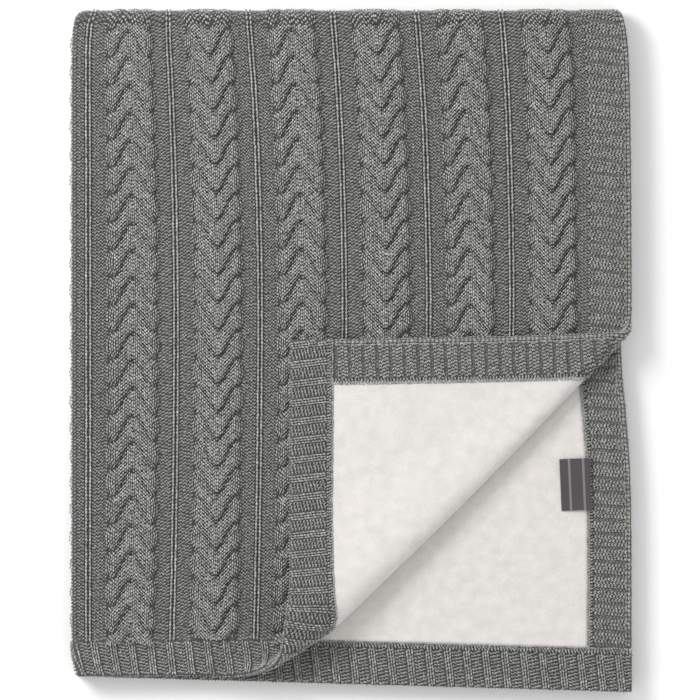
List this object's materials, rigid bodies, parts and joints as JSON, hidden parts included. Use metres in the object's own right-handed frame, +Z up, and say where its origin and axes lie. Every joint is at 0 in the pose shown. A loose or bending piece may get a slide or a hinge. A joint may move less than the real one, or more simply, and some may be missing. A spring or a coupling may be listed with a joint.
{
  "type": "folded knitted blanket",
  "caption": "Plush-lined cable-knit blanket folded in four and lying flat, with ribbed bands and one corner turned back.",
  "frame": {"origin": "middle of the bounding box's underside, on the surface the blanket lies on", "axes": "+Z up, +Y towards the fold at the top of the picture, +X towards the open long edge"},
  "size_m": [0.4012, 0.4888, 0.0454],
  "materials": {
    "cable_knit": "mid-grey melange cotton yarn, cable knit, matt",
    "ribbed_knit": "mid-grey melange cotton yarn, ribbed knit, matt",
    "plush_lining": "short cream plush pile",
    "woven_label": "fine charcoal woven tape, bare"
  },
  "bodies": {
    "root": {"knit_panel": "cable_knit", "lining": "plush_lining", "side_band_outer": "ribbed_knit", "side_band_inner": "ribbed_knit", "end_band_upper": "ribbed_knit", "end_band_lower": "ribbed_knit", "label": "woven_label"}
  },
  "joints": []
}
